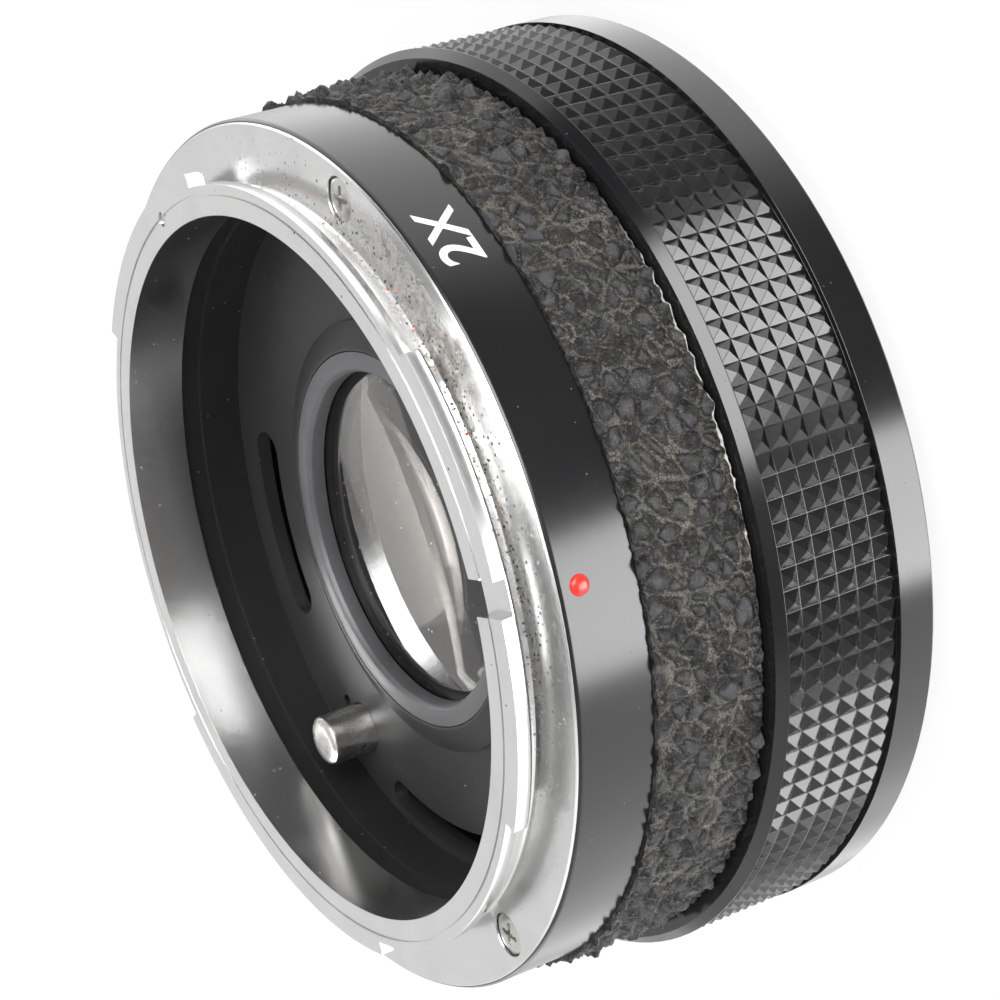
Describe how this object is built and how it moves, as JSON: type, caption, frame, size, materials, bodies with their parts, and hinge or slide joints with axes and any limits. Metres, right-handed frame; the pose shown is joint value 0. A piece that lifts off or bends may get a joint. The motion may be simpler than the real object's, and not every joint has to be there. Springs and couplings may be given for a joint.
{
  "type": "camera teleconverter",
  "caption": "Short ring-shaped teleconverter with a lens bayonet in front, a glass cell inside and a knurled breech ring that locks it to the camera.",
  "frame": {"origin": "centre of the footprint, on the plane that the rear skirt stands on", "axes": "+Z along the optical axis towards the lens side; -Y towards the red index bead; the camera side faces down"},
  "size_m": [0.063, 0.063, 0.0292],
  "materials": {
    "chrome": "satin-bright chrome plate",
    "gloss_black": "gloss black anodising",
    "matt_black": "matt black anodising",
    "steel": "turned steel",
    "spring_steel": "spring steel",
    "grey_ring": "grey anodised",
    "glass": "coated glass",
    "covering": "pebbled grip covering",
    "red": "red bead"
  },
  "bodies": {
    "converter": {"lens_mount_ring": "chrome", "lens_mount_screws": "steel", "mount_stop_pin": "steel", "name_ring": "gloss_black", "index_bead": "red", "grip_band": "covering", "main_barrel": "matt_black", "mechanism_plate": "matt_black", "lens_cell": "matt_black", "front_retaining_ring": "grey_ring", "front_element": "glass", "second_element": "glass", "third_element": "glass", "rear_element": "glass", "front_spacer": "matt_black", "rear_spacer": "matt_black", "rear_retaining_ring": "matt_black", "lever_separator": "steel", "lever_clip": "spring_steel", "return_springs": "spring_steel", "aperture_pin_spring": "spring_steel", "rear_baffle": "matt_black", "rear_mount": "chrome", "rear_mount_screws": "steel", "positioning_pin": "steel", "release_pin_spring": "spring_steel"},
    "breech_ring": {"breech_ring": "gloss_black", "breech_lug_ring": "steel", "breech_ring_screws": "steel"},
    "signal_lever": {"signal_lever_ring": "steel"},
    "aperture_lever": {"aperture_lever_ring": "steel"},
    "aperture_pin": {"aperture_pin": "steel"},
    "release_pin": {"release_pin": "steel"}
  },
  "joints": [
    {"name": "breech_turn", "type": "hinge", "parent": "converter", "child": "breech_ring", "pos_m": [0, 0, 0.008], "axis": [0, 0, -1], "range_deg": [0, 60]},
    {"name": "signal_lever_turn", "type": "hinge", "parent": "converter", "child": "signal_lever", "pos_m": [0, 0, 0.0171], "axis": [0, 0, -1], "range_deg": [0, 40], "stiffness_Nm_per_rad": 0.02},
    {"name": "aperture_lever_turn", "type": "hinge", "parent": "converter", "child": "aperture_lever", "pos_m": [0, 0, 0.0148], "axis": [0, 0, -1], "range_deg": [0, 24], "stiffness_Nm_per_rad": 0.02},
    {"name": "aperture_pin_slide", "type": "slide", "parent": "converter", "child": "aperture_pin", "axis": [0, 0, -1], "range_m": [0, 0.0023], "stiffness_N_per_m": 100, "springref_m": -0.001, "deforming": ["aperture_pin_spring"]},
    {"name": "release_pin_slide", "type": "slide", "parent": "converter", "child": "release_pin", "axis": [0, 0, 1], "range_m": [0, 0.0009], "stiffness_N_per_m": 100, "springref_m": -0.001, "deforming": ["release_pin_spring"]}
  ]
}
